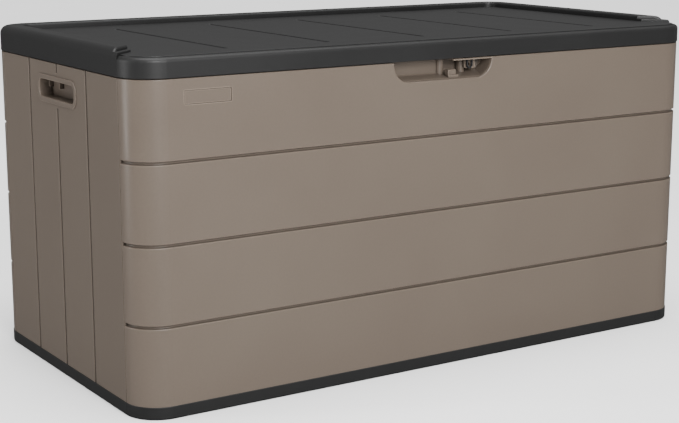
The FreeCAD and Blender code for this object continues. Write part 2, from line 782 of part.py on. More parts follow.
def guard():
    """Half-round guard on the rear wall of the lock chamber."""
    rear = -FACE_Y + LOCK_DEPTH
    middle = rear - GUARD_R
    high = PULL_Z + GUARD_TOP
    nose = Part.makeCylinder(GUARD_R, GUARD_TOP, vec(GUARD_X, middle, PULL_Z))
    back = block(GUARD_X - GUARD_R, GUARD_X + GUARD_R, middle, rear + OVER, PULL_Z, high)
    return nose.fuse(back)


def tab_flange_x():
    """Left side of the flange that holds the lock tab, clear of the guard."""
    return GUARD_X + GUARD_R + OVER


def lock_hole():
    start = vec(LOCK_X, TAB_Y - OVER, LOCK_Z)
    return Part.makeCylinder(LOCK_HOLE_R, TAB_T + 2 * OVER, start, vec(0, 1, 0))


def tab_screw_points():
    rear = -FACE_Y + LOCK_DEPTH + PULL_T
    left = tab_flange_x() + TAB_SCREW_SET
    right = tab_flange_x() + TAB_FLANGE_W - TAB_SCREW_SET
    return [vec(left, rear, LOCK_Z), vec(right, rear, LOCK_Z)]


def lock_tab():
    """Tab behind the lock eye, on a web and a flange screwed to the chamber's rear wall."""
    rear = -FACE_Y + LOCK_DEPTH
    low = LOCK_Z - TAB_BELOW
    high = LOCK_Z + TAB_ABOVE
    tab = plate_y(LOCK_X - TAB_LEFT, LOCK_X + TAB_RIGHT, TAB_Y, TAB_Y + TAB_T, low, high, TAB_R)
    web_x = LOCK_X + TAB_WEB_SET
    web_y = TAB_Y + TAB_T / 2
    web = block(web_x, web_x + TAB_WEB_T, web_y, rear, low + TAB_WEB_T / 2, high - TAB_WEB_T / 2)
    x0 = tab_flange_x()
    x1 = x0 + TAB_FLANGE_W
    flange = plate_y(x0, x1, rear - TAB_T, rear, low, high, TAB_FLANGE_R)
    whole = fuse([tab, web, flange])
    whole = whole.cut(lock_hole())
    for at in tab_screw_points():
        start = vec(at.x, rear, at.z)
        whole = whole.cut(bite_hole(start, vec(0, -1, 0), TAB_T * 0.8))
    room = cup_hollow(DIVIDER_X + DIVIDER_R, PULL_W / 2, LOCK_DEPTH)
    room.translate(vec(0, 0, TAB_CLEAR))
    return whole.common(room)


def eye_screw_points():
    y = EYE_Y + EYE_T + EYE_FOOT_L / 2
    return [vec(LOCK_X + side * EYE_FOOT_W / 3, y, Z_LINER - EYE_T) for side in (-1, 1)]


def eye_slot():
    """Slot of the eye, round at both ends."""
    y0 = EYE_Y - OVER
    run = EYE_T + 2 * OVER
    high = LOCK_Z + EYE_SLOT_H
    ends = [Part.makeCylinder(EYE_HOLE_R, run, vec(LOCK_X, y0, z), vec(0, 1, 0)) for z in (LOCK_Z, high)]
    between = block(LOCK_X - EYE_HOLE_R, LOCK_X + EYE_HOLE_R, y0, y0 + run, LOCK_Z, high)
    return fuse(ends + [between])


def lid_hasp():
    """Eye that hangs from the lid in front of the lock tab, on a foot under the liner."""
    half = EYE_W / 2
    eye = Part.makeCylinder(half, EYE_T, vec(LOCK_X, EYE_Y, LOCK_Z), vec(0, 1, 0))
    stem = block(LOCK_X - half, LOCK_X + half, EYE_Y, EYE_Y + EYE_T, LOCK_Z, Z_LINER)
    x0 = LOCK_X - EYE_FOOT_W / 2
    y1 = EYE_Y + EYE_T + EYE_FOOT_L
    foot = plate_z(x0, x0 + EYE_FOOT_W, EYE_Y, y1, Z_LINER - EYE_T, Z_LINER, EYE_FOOT_R)
    whole = fuse([eye, stem, foot])
    whole = whole.cut(eye_slot())
    for at in eye_screw_points():
        whole = whole.cut(play_hole(at, vec(0, 0, 1), EYE_T))
    return whole


# ---- base ----
def base_tray():
    """Skirt, tongue channel, curb, floor and the rib grid under it, one moulding."""
    outer = rounded_level(prism(0, 0, BASE_H), 0, BASE_FOOT_R)
    outer = rounded_level(outer, BASE_H, BASE_TOP_R)
    wide = TONGUE_IN + CHANNEL_GAP
    deep = BASE_H - TONGUE_H - CHANNEL_GAP
    channel = ring(TONGUE_OUT - CHANNEL_GAP, wide, deep, BASE_H + OVER)
    floor_inset = wide + CURB_W
    well = prism(floor_inset, FLOOR_Z, BASE_H + OVER)
    under = FLOOR_Z - FLOOR_T
    hollow = prism(SKIRT_T, -OVER, under)
    whole = cut(outer, [channel, well, hollow])
    x = WIDTH / 2 - SKIRT_T
    y = DEPTH / 2 - SKIRT_T
    half = TRAY_RIB_T / 2
    pad = CENTRE_PAD / 2
    ribs = [block(-pad, pad, -pad, pad, 0, under + OVER)]
    for i in range(TRAY_RIBS_X):
        at = 2 * x * ((i + 1) / (TRAY_RIBS_X + 1) - 0.5)
        ribs.append(block(at - half, at + half, -y, y, 0, under + OVER))
    for i in range(TRAY_RIBS_Y):
        at = 2 * y * ((i + 1) / (TRAY_RIBS_Y + 1) - 0.5)
        ribs.append(block(-x, x, at - half, at + half, 0, under + OVER))
    return fuse([whole] + ribs)


# ---- lid ----
def rim_inner(grow, z0, z1):
    """Space inside the U-shaped rim, open to the front; grow makes it larger."""
    x = WIDTH / 2 - RIM_W + grow
    y = DEPTH / 2 - RIM_W + grow
    return plate_z(-x, x, -DEPTH, y, z0, z1, RIM_CORNER_R)


def before_rim(y):
    """All that lies in front of the rim's splayed ends, which start at y on the outline."""
    reach = RIM_W + 2 * OVER
    slope = RIM_SPLAY / RIM_W
    x = WIDTH / 2
    corners = [
        (-x - OVER, -FAR, 0),
        (x + OVER, -FAR, 0),
        (x + OVER, y - OVER * slope, 0),
        (x - reach, y + reach * slope, 0),
        (reach - x, y + reach * slope, 0),
        (-x - OVER, y - OVER * slope, 0),
    ]
    return extruded(corners, in_plan(Z_LID), vec(0, 0, FAR))


def splayed_edges(part, z, y):
    """Upper edges of the splayed ends that start at y on the outline."""
    found = []
    for edge in level_edges(part, z):
        box = edge.BoundBox
        straight = abs(box.YLength * RIM_W - box.XLength * RIM_SPLAY) < 0.1 * RIM_W
        if straight and box.XLength > OVER and box.YMax < y + RIM_SPLAY + OVER:
            found.append(edge)
    return found


def rim():
    """Raised rim along the left, the rear and the right, and the low tier of its ends."""
    low = Z_DECK - RIM_OUTER_R
    outer = rounded_level(prism(0, low, Z_RIM), Z_RIM, RIM_OUTER_R)
    part = outer.cut(rim_inner(0, low - OVER, Z_RIM + OVER))
    tier_z = Z_DECK + RIM_TIER_H
    tier = part.common(block(-FAR, FAR, -FAR, FAR, low, tier_z))
    tier = tier.cut(before_rim(RIM_END_Y))
    tier = tier.makeFillet(RIM_TIER_R, splayed_edges(tier, tier_z, RIM_END_Y))
    upper_y = RIM_END_Y + RIM_TIER_L
    part = part.cut(before_rim(upper_y))
    inner = splayed_edges(part, Z_RIM, upper_y)
    y_in = DEPTH / 2 - RIM_W
    x_in = WIDTH / 2 - RIM_W
    for edge in level_edges(part, Z_RIM):
        box = edge.BoundBox
        if box.YMax < y_in + 0.01 and box.XMin > -x_in - 0.01 and box.XMax < x_in + 0.01:
            inner.append(edge)
    return [part.makeFillet(RIM_INNER_R, inner), tier]


def flute(x):
    """Long capsule that leaves a shallow flute with tapered ends in the deck."""
    half = FLUTE_W / 2
    radius = (half * half + FLUTE_DEPTH * FLUTE_DEPTH) / (2 * FLUTE_DEPTH)
    z = Z_DECK + radius - FLUTE_DEPTH
    y0 = -DEPTH / 2 + FLUTE_FRONT_SET + half
    y1 = DEPTH / 2 - FLUTE_REAR_SET - half
    rod = Part.makeCylinder(radius, y1 - y0, vec(x, y0, z), vec(0, 1, 0))
    return fuse([rod, Part.makeSphere(radius, vec(x, y0, z)), Part.makeSphere(radius, vec(x, y1, z))])


def lid_hollows():
    """Inside of the lid shell: the main cavity, and the hollow under the rim."""
    main = prism(LID_WALL, Z_LID - OVER, Z_UNDER_DECK)
    band = ring(LID_WALL + RIM_WALL, RIM_W - RIM_WALL, Z_UNDER_DECK - OVER, Z_RIM - RIM_WALL)
    band = band.cut(before_rim(RIM_END_Y + RIM_TIER_L + 2 * RIM_WALL))
    return [main, band]


def lid_shell():
    step_z = Z_DECK - DECK_STEP
    body = rounded_level(prism(0, Z_LID, step_z), step_z, LID_FRONT_R)
    body = rounded_level(body, Z_LID, LID_EDGE_R)
    deck = rounded_level(prism(STEP_INSET, step_z - OVER, Z_DECK), Z_DECK, STEP_R)
    whole = fuse([body, deck] + rim())
    for i in range(FLUTES):
        whole = whole.cut(flute(WIDTH / (FLUTES + 1) * (i - (FLUTES - 1) / 2)))
    whole = cut(whole, lid_hollows())
    for at in lid_leaf_screw_points():
        start = vec(at.x, DEPTH / 2 + OVER, at.z)
        whole = whole.cut(bite_hole(start, vec(0, -1, 0), LID_WALL + 2 * OVER))
    for at in liner_screw_points():
        start = vec(at.x, at.y, Z_UNDER_DECK - OVER)
        whole = whole.cut(bite_hole(start, vec(0, 0, 1), OVER + LINER_BITE))
    return whole


def liner_screw_points():
    x = WIDTH / 2 - LINER_SCREW_IN - CORNER_R
    y = DEPTH / 2 - LINER_SCREW_IN
    points = []
    for side_y in (-y, y):
        for i in range(LINER_COLS + 1):
            points.append(vec(2 * x * (i / LINER_COLS - 0.5), side_y, Z_LINER))
    return points


def liner_boss_length():
    return Z_UNDER_DECK - Z_LINER - LINER_T


def lid_liner():
    """Panel that closes the underside of the lid, with sunk fields and screw bosses."""
    plate = prism(LID_WALL + LINER_CLEAR, Z_LINER, Z_LINER + LINER_T)
    span_x = WIDTH - 2 * LINER_MARGIN
    span_y = DEPTH - 2 * LINER_MARGIN
    field_x = (span_x - (LINER_COLS - 1) * LINER_RIB) / LINER_COLS
    field_y = (span_y - (LINER_ROWS - 1) * LINER_RIB) / LINER_ROWS
    z0 = Z_LINER - OVER
    z1 = Z_LINER + LINER_FIELD_DEPTH
    for col in range(LINER_COLS):
        for row in range(LINER_ROWS):
            x0 = -span_x / 2 + col * (field_x + LINER_RIB)
            y0 = -span_y / 2 + row * (field_y + LINER_RIB)
            field = plate_z(x0, x0 + field_x, y0, y0 + field_y, z0, z1, CORNER_R / 4)
            plate = plate.cut(field)
    for at in liner_screw_points():
        boss = Part.makeCylinder(SCREW_HEAD_R, liner_boss_length(), vec(at.x, at.y, Z_LINER + LINER_T))
        plate = plate.fuse(boss)
    for at in liner_screw_points():
        plate = plate.cut(play_hole(at, vec(0, 0, 1), LINER_T + liner_boss_length()))
    for at in eye_screw_points():
        start = vec(at.x, at.y, Z_LINER - OVER)
        plate = plate.cut(bite_hole(start, vec(0, 0, 1), LINER_T + 2 * OVER))
    return plate


def lid_rail(side):
    """Steel tube across the lid, between the liner and the deck."""
    half = LID_RAIL_W / 2
    y = side * LID_RAIL_Y
    z0 = Z_LINER + LINER_T
    z1 = z0 + LID_RAIL_H
    x = WIDTH / 2 - LID_RAIL_SET
    t = LID_RAIL_T
    radius = min(2 * t, 0.45 * LID_RAIL_H)
    outer = plate_x(-x, x, y - half, y + half, z0, z1, radius)
    inner_radius = min(t, 0.45 * (LID_RAIL_H - 2 * t))
    end = x + OVER
    bore = plate_x(-end, end, y - half + t, y + half - t, z0 + t, z1 - t, inner_radius)
    return outer.cut(bore)


# ---- hinges ----
def leaf_low_z():
    return Z_SHOULDER - KNUCKLE_R - LEAF_H


def body_leaf_screw_points():
    z = leaf_low_z() + LEAF_H / 2
    y = FACE_Y + LEAF_T
    return [vec(x + s * HINGE_L / 4, y, z) for x in HINGE_X for s in (-1, 1)]


def lid_leaf_screw_points():
    z = Z_LINER + LINER_T + SCREW_HEAD_R
    y = DEPTH / 2 + LEAF_T
    return [vec(x + s * HINGE_L / 4, y, z) for x in HINGE_X for s in (-1, 1)]


def leaf_screw_length():
    return LEAF_T + WALL * 0.8


def knuckle(x0, x1, bore):
    way = vec(1, 0, 0)
    barrel = Part.makeCylinder(KNUCKLE_R, x1 - x0, vec(x0, HINGE_Y, HINGE_Z), way)
    start = vec(x0 - OVER, HINGE_Y, HINGE_Z)
    return barrel, Part.makeCylinder(bore, x1 - x0 + 2 * OVER, start, way)


def body_leaf(x):
    """Leaf on the rear panel with two outer knuckles that hold the pin."""
    half = HINGE_L / 2
    inner = KNUCKLE_MID / 2 + KNUCKLE_GAP
    low = leaf_low_z()
    plate = plate_y(x - half, x + half, FACE_Y, FACE_Y + LEAF_T, low, low + LEAF_H, LEAF_R)
    solids = [plate]
    bores = []
    for x0, x1 in ((x - half, x - inner), (x + inner, x + half)):
        barrel, bore = knuckle(x0, x1, PIN_R + PIN_FIT)
        solids.append(barrel)
        bores.append(bore)
        top = low + LEAF_H - LEAF_R
        under = HINGE_Z - KNUCKLE_R
        solids.append(block(x0, x1, FACE_Y, FACE_Y + LEAF_T, top, HINGE_Z - OVER))
        solids.append(block(x0, x1, FACE_Y + LEAF_T / 2, HINGE_Y, under, under + LEAF_T))
    whole = cut(fuse(solids), bores)
    for at in body_leaf_screw_points():
        if abs(at.x - x) < half:
            whole = whole.cut(play_hole(at, vec(0, -1, 0), LEAF_T))
    return whole


def lid_leaf(x):
    """Leaf on the lid's rear skirt with one middle knuckle that turns on the pin."""
    half = HINGE_L / 2
    mid = KNUCKLE_MID / 2
    y = DEPTH / 2
    low = HINGE_Z + KNUCKLE_R
    plate = plate_y(x - half, x + half, y, y + LEAF_T, low, low + LEAF_H - LEAF_T, LEAF_R)
    barrel, bore = knuckle(x - mid, x + mid, PIN_R + PIN_RUN)
    neck = block(x - mid, x + mid, y, y + LEAF_T, HINGE_Z + OVER, low + LEAF_R)
    web = block(x - mid, x + mid, y + LEAF_T / 2, HINGE_Y, low - LEAF_T, low)
    whole = fuse([plate, barrel, neck, web]).cut(bore)
    for at in lid_leaf_screw_points():
        if abs(at.x - x) < half:
            whole = whole.cut(play_hole(at, vec(0, -1, 0), LEAF_T))
    return whole


def hinge_pin(x):
    half = HINGE_L / 2
    shaft = Part.makeCylinder(PIN_R, HINGE_L, vec(x - half, HINGE_Y, HINGE_Z), vec(1, 0, 0))
    heads = []
    for start in (x - half - PIN_HEAD_T, x + half):
        at = vec(start, HINGE_Y, HINGE_Z)
        heads.append(Part.makeCylinder(PIN_HEAD_R, PIN_HEAD_T, at, vec(1, 0, 0)))
    return fuse([shaft] + heads)


# ---- screws, one group for each job ----
def screws(points, way, length):
    return [screw(at, way, length) for at in points]


def seam_screws():
    group = []
    for at in seam_points():
        for side_x in (-1, 1):
            for side_y in (-1, 1):
                start = vec(at.x * side_x, at.y * side_y, at.z)
                group.append(screw(start, vec(side_x, 0, 0), seam_screw_length()))
    return group


def write(name, shape):
    if isinstance(shape, list):
        shape = Part.makeCompound(shape)
    solids = len(shape.Solids)
    print(name, solids, "valid" if shape.isValid() else "INVALID", round(shape.Volume / 1000, 1), "cm3")
    shape.exportStep(os.path.join("parts", name + ".step"))


def main():
    os.makedirs("parts", exist_ok=True)
    right_end = end_panel()
    right_hand = handle()
    write("base_tray", base_tray())
    write("front_panel", front_panel())
    write("rear_panel", rear_panel())
    write("right_end_panel", right_end)
    write("left_end_panel", mirrored(right_end, vec(1, 0, 0)))
    write("right_handle", right_hand)
    write("left_handle", mirrored(right_hand, vec(1, 0, 0)))
    write("pull_pocket", pull_pocket())
    write("lock_tab", lock_tab())
    write("badge_plate", badge_plate())
    write("lid_shell", lid_shell())
    write("lid_liner", lid_liner())
    write("lid_rail_front", lid_rail(-1))
    write("lid_rail_rear", lid_rail(1))
    write("lid_hasp", lid_hasp())
    for name, x in zip(HINGE_NAMES, HINGE_X):
        write("hinge_body_leaf_" + name, body_leaf(x))
        write("hinge_lid_leaf_" + name, lid_leaf(x))
        write("hinge_pin_" + name, hinge_pin(x))
    write("seam_screws", seam_screws())
    front = vec(0, -1, 0)
    write("pull_screws", screws(pull_screw_points(), front, pull_screw_length()))
    write("lock_tab_screws", screws(tab_screw_points(), front, PULL_T + TAB_T * 0.7))
    write("hasp_screws", screws(eye_screw_points(), vec(0, 0, 1), EYE_T + LINER_T))
    reach = LINER_T + liner_boss_length() + LINER_BITE
    write("liner_screws", screws(liner_screw_points(), vec(0, 0, 1), reach))
    write("hinge_body_screws", screws(body_leaf_screw_points(), front, leaf_screw_length()))
    write("hinge_lid_screws", screws(lid_leaf_screw_points(), front, leaf_screw_length()))


if __name__ == "__main__":
    main()
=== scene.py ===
import json
import logging
import math
from dataclasses import dataclass
from enum import Enum

import bmesh
import bpy
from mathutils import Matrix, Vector

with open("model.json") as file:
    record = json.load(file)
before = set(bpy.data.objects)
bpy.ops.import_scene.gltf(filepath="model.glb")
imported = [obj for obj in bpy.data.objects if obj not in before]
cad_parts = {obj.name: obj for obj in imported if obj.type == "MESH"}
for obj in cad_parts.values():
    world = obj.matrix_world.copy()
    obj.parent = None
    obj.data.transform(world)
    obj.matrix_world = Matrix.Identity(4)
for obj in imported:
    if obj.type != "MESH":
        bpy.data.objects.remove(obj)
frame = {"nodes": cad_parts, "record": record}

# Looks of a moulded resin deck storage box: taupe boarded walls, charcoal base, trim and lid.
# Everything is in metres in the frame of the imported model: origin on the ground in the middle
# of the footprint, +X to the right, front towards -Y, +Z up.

MM = 0.001
LOG = logging.getLogger("deck_box")


class Slot(Enum):
    """Material slots of the record."""

    TAUPE = "taupe_resin"
    BLACK = "black_resin"
    ZINC = "zinc_steel"
    BLACK_STEEL = "black_steel"


# ---------------------------------------------------------------- colour and node helpers
def linear(hex_colour: str) -> tuple[float, float, float, float]:
    """Turn an sRGB hex colour into the opaque linear RGBA that shaders take.

    Args:
        hex_colour: Six hex digits with a leading hash.

    Returns:
        Linear red, green and blue, and an alpha of one.
    """
    parts = [int(hex_colour[i:i + 2], 16) / 255 for i in (1, 3, 5)]
    toned = [c / 12.92 if c <= 0.04045 else ((c + 0.055) / 1.055) ** 2.4 for c in parts]
    return toned[0], toned[1], toned[2], 1.0


def add_node(
    tree: bpy.types.NodeTree,
    kind: str,
    settings: dict | None = None,
    links: dict | None = None,
) -> bpy.types.Node:
    """Add one shader node, set it up and wire its inputs.

    Args:
        tree: Node tree that the node goes into.
        kind: Blender's class name of the node.
        settings: Attribute or input names with their values; inputs may be named or numbered.
        links: Input names or numbers with the output socket that feeds each.

    Returns:
        The new node.
    """
    node = tree.nodes.new(kind)
    for key, value in (settings or {}).items():
        if isinstance(key, str) and hasattr(node, key) and key not in node.inputs:
            setattr(node, key, value)
        else:
            node.inputs[key].default_value = value
    for key, socket in (links or {}).items():
        tree.links.new(socket, node.inputs[key])
    return node


def new_material(name: str) -> bpy.types.Material:
    """Make an empty node material.

    Args:
        name: Name of the material.

    Returns:
        The material, with no nodes in its tree.
    """
    material = bpy.data.materials.new(name)
    material.use_nodes = True
    material.node_tree.nodes.clear()
    return material


def edge_mask(
    tree: bpy.types.NodeTree, radius: float, low: float, top: float
) -> bpy.types.NodeSocket:
    """Mask that is above zero where an edge is tight enough to get rubbed.

    Args:
        tree: Node tree that the mask goes into.
        radius: How far the rubbed band reaches from the edge.
        low: Match of the softened and the true normal at which the band is fully worn.
        top: Value of the mask there.

    Returns:
        Output socket of the mask.
    """
    soft = add_node(tree, "ShaderNodeBevel", {"samples": 6, "Radius": radius})
    flat = add_node(tree, "ShaderNodeNewGeometry")
    match = add_node(
        tree,
        "ShaderNodeVectorMath",
        {"operation": "DOT_PRODUCT"},
        {0: soft.outputs["Normal"], 1: flat.outputs["Normal"]},
    )
    mask = add_node(
        tree,
        "ShaderNodeMapRange",
        {"From Min": 0.998, "From Max": low, "To Min": 0.0, "To Max": top},
        {0: match.outputs["Value"]},
    )
    return mask.outputs["Result"]


def openness(tree: bpy.types.NodeTree, reach: float) -> bpy.types.NodeSocket:
    """Value near one on open surfaces that drops in grooves and gaps.

    Args:
        tree: Node tree that the value goes into.
        reach: How far a wall may stand off and still close a surface in.

    Returns:
        Output socket of the value.
    """
    node = add_node(tree, "ShaderNodeAmbientOcclusion", {"samples": 8, "Distance": reach})
    return node.outputs["AO"]


# ---------------------------------------------------------------- finishes
@dataclass(frozen=True)
class MouldedResin:
    """Injection moulded polypropylene, grained by spark erosion of the mould.

    The eye gets a soft satin sheen broken up by a fine pebbled grain, faint cloudy flow marks
    where the melt cooled unevenly, grooves darkened with painted shade, and slightly paler,
    smoother edges rubbed by hands, lightened further as a painted highlight.
    """

    name: str
    colour: str
    cloud: str                  # colour of the flow marks
    rubbed: str                 # colour of the rubbed edges, pale enough to serve as a painted highlight too
    shade: str                  # painted shade: colour that grooves and gaps are darkened towards
    roughness: float = 0.34
    ior: float = 1.49           # polypropylene
    gloss: float = 0.32         # the open grain scatters part of the clear reflection
    grain_mm: float = 1.1       # the real grain is about 0.2 mm, too fine to show
    grain_depth_mm: float = 0.05
    speck_mm: float = 4.0
    speck_swing: float = 0.035  # how much the specks lighten and darken the colour
    flow_mm: float = 240.0
    flow_share: float = 0.55    # most of the cloud colour that a flow mark takes
    sheen_swing: float = 0.04   # how much the flow changes the roughness
    wear_mm: float = 2.2
    # share of the rubbed colour on edges, which is partly wear and partly a painted highlight
    wear_and_highlight: float = 0.6
    groove_mm: float = 7.0      # how wide a groove still counts as closed in
    groove_shade_share: float = 0.75          # most of the painted shade colour that a groove takes

    def build(self) -> bpy.types.Material:
        """Make the material."""
        material = new_material(self.name)
        tree = material.node_tree
        place = add_node(tree, "ShaderNodeTexCoord").outputs["Object"]
        flow = add_node(
            tree,
            "ShaderNodeTexNoise",
            {"Scale": 1 / (self.flow_mm * MM), "Detail": 4.0, "Roughness": 0.55, "Distortion": 0.6},
            {"Vector": place},
        )
        speck = add_node(
            tree,
            "ShaderNodeTexNoise",
            {"Scale": 1 / (self.speck_mm * MM), "Detail": 3.0, "Roughness": 0.7},
            {"Vector": place},
        )
        tint = self.tint(tree, flow.outputs["Fac"], speck.outputs["Fac"])
        shader = add_node(
            tree,
            "ShaderNodeBsdfPrincipled",
            {"IOR": self.ior, "Specular IOR Level": self.gloss},
            {
                "Base Color": tint,
                "Roughness": self.sheen(tree, flow.outputs["Fac"], speck.outputs["Fac"]),
                "Normal": self.grain(tree, place),
            },
        )
        add_node(tree, "ShaderNodeOutputMaterial", {}, {"Surface": shader.outputs[0]})
        return material

    def tint(
        self, tree: bpy.types.NodeTree, flow: bpy.types.NodeSocket, speck: bpy.types.NodeSocket
    ) -> bpy.types.NodeSocket:
        """Mix the base colour with flow marks, specks, painted shade in the grooves and rubbed
        edges that also carry a painted highlight.

        Args:
            tree: Node tree of the material.
            flow: Slow pattern of the melt's flow.
            speck: Quicker pattern of the pigment's spread.

        Returns:
            Output socket of the colour.
        """
        patch = add_node(
            tree,
            "ShaderNodeMapRange",
            {"From Min": 0.35, "From Max": 0.7, "To Min": 0.0, "To Max": self.flow_share},
            {0: flow},
        )
        clouded = add_node(
            tree,
            "ShaderNodeMix",
            {"data_type": "RGBA", 6: linear(self.colour), 7: linear(self.cloud)},
            {0: patch.outputs["Result"]},
        )
        grit = add_node(
            tree,
            "ShaderNodeMapRange",
            {
                "From Min": 0.3,
                "From Max": 0.7,
                "To Min": 1 - self.speck_swing,
                "To Max": 1 + self.speck_swing,
            },
            {0: speck},
        )
        speckled = add_node(
            tree,
            "ShaderNodeVectorMath",
            {"operation": "SCALE"},
            {0: clouded.outputs[2], "Scale": grit.outputs["Result"]},
        )
        # Painted shade: grooves and gaps that ambient occlusion finds closed in are darkened
        # towards the shade colour.
        opened = openness(tree, self.groove_mm * MM)
        shaded = add_node(
            tree,
            "ShaderNodeMapRange",
            {"From Min": 0.82, "From Max": 0.35, "To Min": 0.0, "To Max": self.groove_shade_share},
            {0: opened},
        )
        groove_shaded = add_node(
            tree,
            "ShaderNodeMix",
            {"data_type": "RGBA", 7: linear(self.shade)},
            {0: shaded.outputs["Result"], 6: speckled.outputs[0]},
        )
        # Rubbed edges that also carry a painted highlight: open, tight edges are lightened towards
        # the rubbed colour.
        proud = add_node(
            tree,
            "ShaderNodeMapRange",
            {"From Min": 0.86, "From Max": 0.97},
            {0: opened},
        )
        wear_and_highlight_mask = add_node(
            tree,
            "ShaderNodeMath",
            {"operation": "MULTIPLY"},
            {
                0: proud.outputs["Result"],
                1: edge_mask(tree, self.wear_mm * MM, 0.9, self.wear_and_highlight),
            },
        )
        worn = add_node(
            tree,
            "ShaderNodeMix",
            {"data_type": "RGBA", 7: linear(self.rubbed)},
            {0: wear_and_highlight_mask.outputs[0], 6: groove_shaded.outputs[2]},
        )
        return worn.outputs[2]

    def sheen(
        self, tree: bpy.types.NodeTree, flow: bpy.types.NodeSocket, speck: bpy.types.NodeSocket
    ) -> bpy.types.NodeSocket:
        """Vary the roughness a little, slowly and at the grain's scale.

        Args:
            tree: Node tree of the material.
            flow: Slow pattern of the melt's flow.
            speck: Quicker pattern of the pigment's spread.

        Returns:
            Output socket of the roughness.
        """
        slow = add_node(
            tree,
            "ShaderNodeMapRange",
            {
                "From Min": 0.3,
                "From Max": 0.7,
                "To Min": self.roughness - self.sheen_swing,
                "To Max": self.roughness + self.sheen_swing,
            },
            {0: flow},
        )
        both = add_node(
            tree,
            "ShaderNodeMath",
            {"operation": "MULTIPLY_ADD", 1: 0.10, 2: -0.05},
            {0: speck},
        )
        total = add_node(
            tree,
            "ShaderNodeMath",
            {"operation": "ADD"},
            {0: slow.outputs["Result"], 1: both.outputs[0]},
        )
        return total.outputs[0]

    def grain(
        self, tree: bpy.types.NodeTree, place: bpy.types.NodeSocket
    ) -> bpy.types.NodeSocket:
        """Raise the pebbled grain of the mould.

        Args:
            tree: Node tree of the material.
            place: Coordinates in metres.

        Returns:
            Output socket of the normal.
        """
        pebble = add_node(
            tree,
            "ShaderNodeTexVoronoi",
            {"feature": "SMOOTH_F1", "Scale": 1 / (self.grain_mm * MM), "Smoothness": 0.6},
            {"Vector": place},
        )
        bump = add_node(
            tree,
            "ShaderNodeBump",
            {"Strength": 0.3, "Distance": self.grain_depth_mm * MM, "invert": True},
            {"Height": pebble.outputs["Distance"]},
        )
        return bump.outputs["Normal"]


@dataclass(frozen=True)
class PlatedSteel:
    """Zinc plated steel, pressed or turned.

    The eye gets a dull bright metal with the cloudy bloom of the plating and fine drawing
    lines from the strip that it was pressed from.
    """

    name: str
    colour: str
    bloom: str                  # colour of the plating's cloudy parts
    bright: str = "#DADCDE"     # colour of the rubbed edges
    roughness: float = 0.34
    cloud_mm: float = 9.0
    line_mm: float = 0.8        # the real drawing lines are finer and would not show
    line_depth_mm: float = 0.01
    wear_mm: float = 0.5

    def build(self) -> bpy.types.Material:
        """Make the material."""
        material = new_material(self.name)
        tree = material.node_tree
        place = add_node(tree, "ShaderNodeTexCoord").outputs["Object"]
        cloud = add_node(
            tree,
            "ShaderNodeTexNoise",
            {"Scale": 1 / (self.cloud_mm * MM), "Detail": 4.0, "Roughness": 0.6},
            {"Vector": place},
        )
        stretched = add_node(
            tree, "ShaderNodeMapping", {"Scale": (0.06, 1.0, 1.0)}, {"Vector": place}
        )
        lines = add_node(
            tree,
            "ShaderNodeTexNoise",
            {"Scale": 1 / (self.line_mm * MM), "Detail": 2.0, "Roughness": 0.5},
            {"Vector": stretched.outputs["Vector"]},
        )
        rough = add_node(
            tree,
            "ShaderNodeMapRange",
            {"To Min": self.roughness - 0.08, "To Max": self.roughness + 0.12},
            {0: cloud.outputs["Fac"]},
        )
        tint = add_node(
            tree,
            "ShaderNodeMix",
            {"data_type": "RGBA", 6: linear(self.colour), 7: linear(self.bloom)},
            {0: cloud.outputs["Fac"]},
        )
        worn = add_node(
            tree,
            "ShaderNodeMix",
            {"data_type": "RGBA", 7: linear(self.bright)},
            {0: edge_mask(tree, self.wear_mm * MM, 0.85, 0.5), 6: tint.outputs[2]},
        )
        bump = add_node(
            tree,
            "ShaderNodeBump",
            {"Strength": 0.4, "Distance": self.line_depth_mm * MM},
            {"Height": lines.outputs["Fac"]},
        )
        shader = add_node(
            tree,
            "ShaderNodeBsdfPrincipled",
            {"Metallic": 1.0},
            {
                "Base Color": worn.outputs[2],
                "Roughness": rough.outputs["Result"],
                "Normal": bump.outputs["Normal"],
            },
        )
        add_node(tree, "ShaderNodeOutputMaterial", {}, {"Surface": shader.outputs[0]})
        return material


@dataclass(frozen=True)
class PowderCoat:
    """Polyester powder coat baked on pressed steel.

    The eye gets a dark, slightly glossy skin with the orange peel of the powder as it flowed,
    worn thin and greyer along the edges.
    """

    name: str = "black_powder_coated_steel_baked"
    colour: str = "#1B1B1C"
    thin: str = "#55565A"       # where the coat is rubbed thin
    roughness: float = 0.36
    ior: float = 1.52           # polyester
    peel_mm: float = 1.4
    peel_depth_mm: float = 0.04
    wear_mm: float = 0.6

    def build(self) -> bpy.types.Material:
        """Make the material."""
        material = new_material(self.name)
        tree = material.node_tree
        place = add_node(tree, "ShaderNodeTexCoord").outputs["Object"]
        peel = add_node(
            tree,
            "ShaderNodeTexNoise",
            {"Scale": 1 / (self.peel_mm * MM), "Detail": 1.5, "Roughness": 0.45},
            {"Vector": place},
        )
        rough = add_node(
            tree,
            "ShaderNodeMapRange",
            {"To Min": self.roughness - 0.05, "To Max": self.roughness + 0.08},
            {0: peel.outputs["Fac"]},
        )
        tint = add_node(
            tree,
            "ShaderNodeMix",
            {"data_type": "RGBA", 6: linear(self.colour), 7: linear(self.thin)},
            {0: edge_mask(tree, self.wear_mm * MM, 0.88, 0.6)},
        )
        bump = add_node(
            tree,
            "ShaderNodeBump",
            {"Strength": 0.5, "Distance": self.peel_depth_mm * MM},
            {"Height": peel.outputs["Fac"]},
        )
        shader = add_node(
            tree,
            "ShaderNodeBsdfPrincipled",
            {"IOR": self.ior},
            {
                "Base Color": tint.outputs[2],
                "Roughness": rough.outputs["Result"],
                "Normal": bump.outputs["Normal"],
            },
        )
        add_node(tree, "ShaderNodeOutputMaterial", {}, {"Surface": shader.outputs[0]})
        return material


